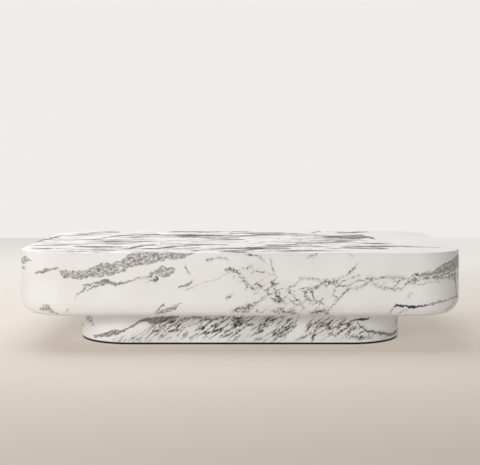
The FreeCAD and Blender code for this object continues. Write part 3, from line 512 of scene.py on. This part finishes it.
# The same marble cut along its bed: the veins are long flecks, thick in some zones and sparse elsewhere.
def streakedMarble(name, veins, shift):
    material, tree, shader, spot, face = startStone(name, veins, shift, False)
    fibres = stretchedNoise(tree, face, *veins["fibres"], detail=3)
    low, high = marbleLook["fibreSpread"]
    light, dark = veins["fibreShade"]
    fibres = addNode(tree, "MapRange", {"Value": fibres, "From Min": low, "From Max": high, "To Min": light,
                                        "To Max": dark})
    layers = []
    for streaks in veins["streaks"]:
        fleck = stretchedNoise(tree, face, streaks["length"], streaks["width"], streaks["turn"], detail=4)
        if "hair" in streaks:
            fleck = addNode(tree, "Math", {0: fleck, 1: noiseMiddle}, operation="SUBTRACT")
            fleck = addNode(tree, "Math", {0: fleck}, operation="ABSOLUTE")
        begin, full = (streaks["hair"], 0) if "hair" in streaks else streaks["spread"]
        rim, core = streaks["dark"]
        shade = addNode(tree, "MapRange", {"Value": fleck, "From Min": full, "To Min": rim, "To Max": core,
                                           "From Max": full + veins["coreDepth"]})
        shade = addNode(tree, "Math", {0: shade, 1: fibres}, operation="MULTIPLY")
        edge = addNode(tree, "MapRange", {"Value": fleck, "From Min": begin, "From Max": full},
                       interpolation_type="SMOOTHSTEP")
        fleck = addNode(tree, "Math", {0: edge, 1: shade}, operation="MULTIPLY")
        soft = streaks["soft"]
        _, zone = inVeins(tree, face, veins[streaks["zone"]], 0, (-soft, soft))
        layers.append(addNode(tree, "Math", {0: zone, 1: fleck}, operation="MULTIPLY"))
    finishMarble(tree, shader, veins, spot, layers)
    return material


# Where each stone lies in the noise, in mm, so that no two are alike.
stoneShifts = {"sides": (0, 0, 0), "top": (310, 120, 440), "plinth": (-270, 530, 90),
               "soffit": (-640, 250, -310)}
sideStone = veinedMarble("honedMarbleSides", sideVeins, stoneShifts["sides"])
topStone = streakedMarble("honedMarbleTop", topVeins, stoneShifts["top"])
plinthStone = veinedMarble("honedMarblePlinth", plinthVeins, stoneShifts["plinth"])
soffitStone = streakedMarble("honedMarbleSoffit", topVeins, stoneShifts["soffit"])
print("marble ready")

# Each stone's name, its turn, and the way to its place.
sides = (("front", 270, 0, -1), ("right", 0, 1, 0), ("back", 90, 0, 1), ("left", 180, -1, 0))
corners = (("front_right", 315, 1, -1), ("back_right", 45, 1, 1), ("back_left", 135, -1, 1),
           ("front_left", 225, -1, -1))
stoneShape = {"cornerSteps": 48, "sharpAngle": 35, "mergeReach": 1e-6}


def finishStone(bm, node, materials):  # makes a stone that stands for its node
    bmesh.ops.remove_doubles(bm, verts=bm.verts[:], dist=stoneShape["mergeReach"])
    bmesh.ops.recalc_face_normals(bm, faces=bm.faces[:])
    mesh = bpy.data.meshes.new(node + "_stone")
    bm.to_mesh(mesh)
    bm.free()
    mesh.shade_smooth()
    mesh.set_sharp_from_angle(angle=math.radians(stoneShape["sharpAngle"]))
    for material in materials:
        mesh.materials.append(material)
    stone = bpy.data.objects.new(mesh.name, mesh)
    bpy.context.scene.collection.objects.link(stone)
    normals = stone.modifiers.new("flatFacesStayFlat", "WEIGHTED_NORMAL")
    normals.keep_sharp = True
    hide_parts(node)
    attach(stone, "table")


def ringPlan(label):  # where the straight runs end, and the corner radius outside
    low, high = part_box(label + "_corner_back_right")
    return low, high.x - low.x


def alongRing(spot, core, radius):  # length from the middle of the front or back, as in matched slabs
    overX, overY = abs(spot.x) - core.x, abs(spot.y) - core.y
    if overX <= 0:
        return spot.x
    bend = math.atan2(overX, overY) if overY > 0 else math.pi / 2
    return math.copysign(core.x + radius * bend - min(overY, 0), spot.x)


def mapRing(bm, core, radius):  # the stone's own map, in metres along and up its face
    layer = bm.loops.layers.uv.new("stoneFace")
    for face in bm.faces:
        for loop in face.loops:
            loop[layer].uv = (alongRing(loop.vert.co, core, radius), loop.vert.co.z)


def drawOut(bm, faces, way):  # extrudes faces, and gives the new ones
    run = bmesh.ops.extrude_face_region(bm, geom=faces)["geom"]
    bmesh.ops.translate(bm, verts=[part for part in run if isinstance(part, bmesh.types.BMVert)], vec=way)
    return [part for part in run if isinstance(part, bmesh.types.BMFace)]


def ringOfStones(label, section, material):  # four straight stones and four corner stones of one section
    core, radius = ringPlan(label)
    if label == "edge_strip":
        radius = ringPlan("apron")[1]  # the strips follow the aprons in front of them
    for stone, turn, wayX, wayY in sides + corners:
        bm = section(radius)
        if wayX and wayY:  # a corner
            name = f"{label}_corner_{stone}"
            eighth = Matrix.Rotation(-math.pi / 4, 3, "Z")
            bmesh.ops.rotate(bm, verts=bm.verts[:], cent=(0, 0, 0), matrix=eighth)
            bmesh.ops.spin(bm, geom=bm.verts[:] + bm.edges[:] + bm.faces[:], cent=(0, 0, 0), axis=(0, 0, 1),
                           angle=math.pi / 2, steps=stoneShape["cornerSteps"])
        else:
            name = f"{label}_{stone}"
            half = core.y if wayX else core.x
            bmesh.ops.translate(bm, verts=bm.verts[:], vec=(0, -half, 0))
            drawOut(bm, bm.faces[:], (0, 2 * half, 0))
            bmesh.ops.bisect_plane(bm, geom=bm.verts[:] + bm.edges[:] + bm.faces[:], plane_co=(0, 0, 0),
                                   plane_no=(0, 1, 0))  # a line at the middle, where the map turns back
        place = Matrix.Translation((wayX * core.x, wayY * core.y, 0))
        place = place @ Matrix.Rotation(math.radians(turn), 4, "Z")
        bmesh.ops.transform(bm, matrix=place, verts=bm.verts[:])
        mapRing(bm, core, radius)
        finishStone(bm, name, [material])
    print(label, "ring: 8 stones")


def sectionFace(outline):  # a flat face across a ring, with x outwards from the corner's centre
    bm = bmesh.new()
    bm.faces.new([bm.verts.new((x, 0, z)) for x, z in outline])
    return bm


def roundFoot(bm, radius, steps):  # rounds the lower outer corner of a section
    foot = max(bm.verts, key=lambda vert: (vert.co.x, -vert.co.z))
    bmesh.ops.bevel(bm, geom=[foot], offset=radius, segments=steps, profile=0.5, affect="VERTICES",
                    material=-1)


# Metres, as in the CAD. The nose is the slab's upright edge, above its mitre.
blockEdge = {"lowerRound": 0.054, "roundSteps": 16, "nose": 0.005}
slabLow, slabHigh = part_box("top_slab")
apronLow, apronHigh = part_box("apron_front")
stripLow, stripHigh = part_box("edge_strip_front")
apronThickness = apronHigh.y - apronLow.y
edgeDepth = stripHigh.y - apronLow.y  # of apron and strip together
mitreDrop = slabHigh.z - slabLow.z - blockEdge["nose"]  # over the apron's thickness


def roundAndCut(bm, outer, cut, keepOuter):  # rounds the foot, and cuts the section at a depth
    roundFoot(bm, blockEdge["lowerRound"], blockEdge["roundSteps"])
    bmesh.ops.bisect_plane(bm, geom=bm.verts[:] + bm.edges[:] + bm.faces[:], plane_co=(outer - cut, 0, 0),
                           plane_no=(1, 0, 0), clear_inner=keepOuter, clear_outer=not keepOuter)
    return bm


def apronSection(outer):  # upright, with the mitre above and the first part of the rounded foot below
    foot, head, inner = stripLow.z, apronHigh.z, outer - edgeDepth
    innerHead = head - mitreDrop * edgeDepth / apronThickness
    bm = sectionFace(((outer, foot), (outer, head), (inner, innerHead), (inner, foot)))
    return roundAndCut(bm, outer, apronThickness, keepOuter=True)


def stripSection(outer):  # behind the apron, with the rest of the rounded foot
    foot, head, inner = stripLow.z, stripHigh.z, outer - edgeDepth
    bm = sectionFace(((outer, foot), (outer, head), (inner, head), (inner, foot)))
    return roundAndCut(bm, outer, stripLow.y - apronLow.y, keepOuter=False)


plinthEdge = {"ease": 0.002, "easeSteps": 2}  # metres


def plinthSection(outer):  # upright, eased at the foot
    low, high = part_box("plinth_front")
    inner = outer - (high.y - low.y)
    bm = sectionFace(((outer, low.z), (outer, high.z), (inner, high.z), (inner, low.z)))
    roundFoot(bm, plinthEdge["ease"], plinthEdge["easeSteps"])
    return bm


ringOfStones("apron", apronSection, sideStone)
ringOfStones("edge_strip", stripSection, sideStone)
ringOfStones("plinth", plinthSection, plinthStone)

# Metres, and the slopes between which a face is part of the nose.
slabEdge = {"arrisRound": 0.0025, "arrisSteps": 4, "noseSlope": (-0.1, 0.7)}


def topSlab():  # one slab with rounded corners, an eased arris above and a mitre below
    core, radius = ringPlan("apron")
    bm = bmesh.new()
    bmesh.ops.create_grid(bm, x_segments=1, y_segments=1, size=0.5)  # one metre across, then scaled
    bmesh.ops.scale(bm, verts=bm.verts[:], vec=(slabHigh.x - slabLow.x, slabHigh.y - slabLow.y, 1))
    bmesh.ops.bevel(bm, geom=bm.verts[:], offset=radius, segments=stoneShape["cornerSteps"],
                    profile=0.5, affect="VERTICES", material=-1)
    bmesh.ops.translate(bm, verts=bm.verts[:], vec=(0, 0, slabHigh.z))
    top = bm.faces[:][0]
    arris = top.edges[:]
    under = drawOut(bm, [top], (0, 0, -blockEdge["nose"]))
    bmesh.ops.inset_region(bm, faces=under, thickness=apronThickness, use_even_offset=True)
    bmesh.ops.translate(bm, verts=under[0].verts[:], vec=(0, 0, -mitreDrop))
    bmesh.ops.bevel(bm, geom=arris, offset=slabEdge["arrisRound"], segments=slabEdge["arrisSteps"],
                    profile=0.5, affect="EDGES", material=-1)
    bm.normal_update()
    bmesh.ops.recalc_face_normals(bm, faces=bm.faces[:])
    mapRing(bm, core, radius)
    lowest, highest = slabEdge["noseSlope"]
    for face in bm.faces:
        face.material_index = int(lowest < face.normal.z < highest)  # the nose is matched to the sides
    finishStone(bm, "top_slab", [topStone, sideStone])


topSlab()
print("top slab ready")

# The carcass, feet and soffit keep their CAD shapes. Sizes in mm; a grain is its length and width.
woodLook = {
    "birch": {"grain": (420, 5), "colours": ("#dcc49b", "#c4a374"), "roughness": 0.6},
    "pine": {"grain": (600, 9), "colours": ("#dfc08d", "#b98d55"), "roughness": 0.62},
    "seal": {"grain": (420, 5), "colours": ("#0f0f0e", "#171614"), "roughness": 0.66},
    "streakSpread": (0.3, 0.7),
    "ply": 1.5,
    "plyEdge": ("#d3b98c", "#8f6a41"),
    "glueLine": (0.6, 0.9),  # where it begins and is full, within a ply
    "roughSwing": 0.08,
    "gloss": 0.3,
    "bump": (0.2, 0.0002),  # strength, and depth in metres
}


def wood(name, look, along, thick=None):  # the axis along the grain, and the one across the plies
    material, tree, shader = newMaterial(name)
    coords = addNode(tree, "TexCoord").outputs
    spot = addNode(tree, "Mapping", {"Vector": coords["Object"], "Scale": [mmPerMetre] * 3})
    length, width = look["grain"]
    scale = [1 / width] * 3
    scale[along] = 1 / length
    streaks = addNode(tree, "Mapping", {"Vector": spot, "Scale": scale})
    streaks = addNode(tree, "TexNoise", {"Vector": streaks, "Scale": 1, "Detail": 5, "Roughness": 0.65})
    low, high = woodLook["streakSpread"]
    shade = addNode(tree, "MapRange", {"Value": streaks, "From Min": low, "From Max": high})
    light, dark = map(hexColour, look["colours"])
    colour = addNode(tree, "Mix", {0: shade, 6: light, 7: dark}, data_type="RGBA")
    if thick is not None:
        depth = addNode(tree, "SeparateXYZ", {0: spot}).outputs[thick]
        plies = addNode(tree, "Math", {0: depth, 1: woodLook["ply"]}, operation="PINGPONG")
        low, high = woodLook["glueLine"]
        plies = addNode(tree, "MapRange", {"Value": plies, "From Min": low, "From Max": high})
        light, dark = map(hexColour, woodLook["plyEdge"])
        edge = addNode(tree, "Mix", {0: plies, 6: light, 7: dark}, data_type="RGBA")
        facing = addNode(tree, "SeparateXYZ", {0: coords["Normal"]}).outputs[thick]
        facing = addNode(tree, "Math", {0: facing}, operation="ABSOLUTE")
        colour = addNode(tree, "Mix", {0: facing, 6: edge, 7: colour}, data_type="RGBA")
    middle, swing = look["roughness"], woodLook["roughSwing"]
    rough = addNode(tree, "MapRange", {"Value": streaks, "To Min": middle - swing, "To Max": middle + swing})
    strength, depth = woodLook["bump"]
    bump = addNode(tree, "Bump", {"Height": streaks, "Strength": strength, "Distance": depth})
    setInputs(tree, shader, {"Base Color": colour, "Roughness": rough, "Normal": bump,
                             "Specular IOR Level": woodLook["gloss"]})
    return material


# Birch plywood: pale straight-grained veneer, with dark glue lines along the edges.
flatBirch = wood("birchPlywoodFlat", woodLook["birch"], along=0, thick=2)
longBirch = wood("birchPlywoodLong", woodLook["birch"], along=0, thick=1)
crossBirch = wood("birchPlywoodCross", woodLook["birch"], along=1, thick=0)
# Planed pine: yellower, with broad streaks.
longPine = wood("planedPineLong", woodLook["pine"], along=0)
crossPine = wood("planedPineCross", woodLook["pine"], along=1)
# Matt black sealer on plywood: nearly black, with the grain only in its sheen.
sealedPly = wood("blackSealedPlywood", woodLook["seal"], along=0)

# Speck sizes in mm.
hardwareLook = {
    "zinc": {"colours": ("#c9ccd0", "#aeb2b7"), "speck": 3, "metallic": 1, "roughness": 0.32},
    "nylon": {"colours": ("#121212", "#1d1d1d"), "speck": 0.8, "metallic": 0, "roughness": 0.5},
    "roughSwing": 0.1,
}


def speckled(name, look):  # two close tones in fine specks
    material, tree, shader = newMaterial(name)
    spot = addNode(tree, "TexCoord").outputs["Object"]
    specks = addNode(tree, "TexNoise", {"Vector": spot, "Scale": mmPerMetre / look["speck"], "Detail": 3})
    one, other = map(hexColour, look["colours"])
    colour = addNode(tree, "Mix", {0: specks, 6: one, 7: other}, data_type="RGBA")
    middle, swing = look["roughness"], hardwareLook["roughSwing"]
    rough = addNode(tree, "MapRange", {"Value": specks, "To Min": middle - swing, "To Max": middle + swing})
    setInputs(tree, shader, {"Base Color": colour, "Roughness": rough, "Metallic": look["metallic"]})
    return material


# Zinc plate: bright and bluish, with a soft spangle. Moulded nylon: black, with a fine eggshell texture.
zincPlate = speckled("zincPlatedSteel", hardwareLook["zinc"])
blackNylon = speckled("blackNylon", hardwareLook["nylon"])

# The finish of each node whose name starts so.
nodeFinishes = {
    "soffit_panel": soffitStone, "plinth_base_board": sealedPly,
    "top_deck": flatBirch, "under_deck": flatBirch, "plinth_head_board": flatBirch,
    "long_rib": longBirch, "plinth_long_web": longBirch,
    "cross_rib": crossBirch, "plinth_cross_web": crossBirch,
    "rail_front": longPine, "rail_back": longPine, "rail_left": crossPine, "rail_right": crossPine,
    "joining_bolts": zincPlate, "bolt_washers": zincPlate, "tee_nuts": zincPlate, "foot_inserts": zincPlate,
    "foot_stud": zincPlate, "foot_pad": blackNylon, "access_caps": blackNylon,
}
for start, finish in nodeFinishes.items():
    for name, node in cadNodes.items():
        if name.startswith(start):
            for holder in node.material_slots:
                holder.material = finish
print("carried-over nodes dressed:", len(nodeFinishes), "kinds")

# Camera: level, from in front, with the lens shifted down to the table.
cameraLook = {"place": (0, -3.5502, 0.6586), "lens": 69.864, "shift": -0.15717}
camera = bpy.data.objects.new("camera", bpy.data.cameras.new("camera"))
camera.location = cameraLook["place"]
camera.rotation_euler = (math.radians(90), 0, 0)
camera.data.lens = cameraLook["lens"]
camera.data.shift_y = cameraLook["shift"]
bpy.context.scene.collection.objects.link(camera)
bpy.context.scene.camera = camera

stageLook = {
    "floor": "#f4efe8",
    "floorRoughness": 0.9,
    "floorGloss": 0.1,
    "floorReach": 4.03,  # metres from the middle to each edge
    "floorRise": 0.0002,  # above the foot of the base board
    "paintedLightShare": 0.52,  # how much of the floor as seen is painted light: a glowing tone, without the lamps' shade
    "paintedLightRun": (-1.5, 2.3),  # where the painted light begins, darkest, in front and ends, palest, behind
    # painted light and shade on the floor: dark brown in front, near white behind
    "floorPaintedLight": ((0, "#987f64"), (0.28, "#d2c2b1"), (1, "#fffaf5")),
    "wall": "#efedea",
    "ambient": "#f5f9ff",
    "ambientLevel": 0.22,
}
# Place, aim, size and power of each soft light.
softLights = {
    "left": ((-4.6, -2.4, 0.5), (0, 0, 0.1), (3.2, 0.8), 22),
    "frontLeft": ((-2.4, -4.6, 1.6), (0, 0, 0.2), (3.2, 0.8), 114),
    "frontRight": ((2.8, -4.4, 0.4), (0, 0, 0.1), (3, 0.6), 22),
    "backRight": ((3.2, 4.4, 2), (0, 0, 0.2), (3.2, 1.2), 32),
    "overhead": ((-1, 0.3, 3.2), (-0.9, 0.3, 0), (4, 3.4), 100),
}


def seenDirectly(tree):  # what the camera sees, also in reflections and through glass
    rays = addNode(tree, "LightPath").outputs
    seen = addNode(tree, "Math", {0: rays["Is Camera Ray"], 1: rays["Is Glossy Ray"]}, operation="MAXIMUM")
    return addNode(tree, "Math", {0: seen, 1: rays["Is Transmission Ray"]}, operation="MAXIMUM")


def studioFloor():
    bm = bmesh.new()
    bmesh.ops.create_grid(bm, x_segments=1, y_segments=1, size=stageLook["floorReach"])
    bmesh.ops.translate(bm, verts=bm.verts[:], vec=(0, 0, stageLook["floorRise"]))
    mesh = bpy.data.meshes.new("floor")
    bm.to_mesh(mesh)
    bm.free()
    floor = bpy.data.objects.new("floor", mesh)
    bpy.context.scene.collection.objects.link(floor)
    material, tree, shader = newMaterial("mattFloorPaintedLight")
    setInputs(tree, shader, {"Base Color": hexColour(stageLook["floor"]),
                             "Roughness": stageLook["floorRoughness"],
                             "Specular IOR Level": stageLook["floorGloss"]})
    # Painted light: the floor as seen glows in tones graded from dark in front to pale behind.
    away = addNode(tree, "SeparateXYZ", {0: addNode(tree, "TexCoord").outputs["Object"]}).outputs["Y"]
    begin, end = stageLook["paintedLightRun"]
    away = addNode(tree, "MapRange", {"Value": away, "From Min": begin, "From Max": end})
    paintedTone = addNode(tree, "ValToRGB", {0: away}, stageLook["floorPaintedLight"])
    paintedGlow = addNode(tree, "Emission", {"Color": paintedTone, "Strength": 1})
    share = addNode(tree, "Math", {0: seenDirectly(tree), 1: stageLook["paintedLightShare"]}, operation="MULTIPLY")
    surface = addNode(tree, "MixShader", {0: share, 1: shader, 2: paintedGlow})
    below = addNode(tree, "NewGeometry").outputs["Backfacing"]  # clear from below, to show the feet
    surface = addNode(tree, "MixShader", {0: below, 1: surface, 2: addNode(tree, "BsdfTransparent")})
    setInputs(tree, tree.nodes["Material Output"], {"Surface": surface})
    mesh.materials.append(material)


def studioLight():
    scene = bpy.context.scene
    for name, (place, aim, (width, height), power) in softLights.items():
        light = bpy.data.lights.new(name, "AREA")
        light.shape = "RECTANGLE"
        light.size = width
        light.size_y = height
        light.energy = power
        lamp = bpy.data.objects.new(name, light)
        lamp.location = place
        lamp.visible_camera = False
        lamp.rotation_euler = (Vector(aim) - Vector(place)).to_track_quat("-Z", "Y").to_euler()
        scene.collection.objects.link(lamp)
    scene.world = bpy.data.worlds.new("studio")
    scene.world.use_nodes = True
    tree = scene.world.node_tree
    wall = addNode(tree, "Background", {"Color": hexColour(stageLook["wall"]), "Strength": 1})
    light = addNode(tree, "Background", {"Color": hexColour(stageLook["ambient"]),
                                         "Strength": stageLook["ambientLevel"]})
    sky = addNode(tree, "MixShader", {0: seenDirectly(tree), 1: light, 2: wall})
    setInputs(tree, tree.nodes["World Output"], {"Surface": sky})
    scene.view_settings.view_transform = "Standard"


studioFloor()
studioLight()
print("studio ready")
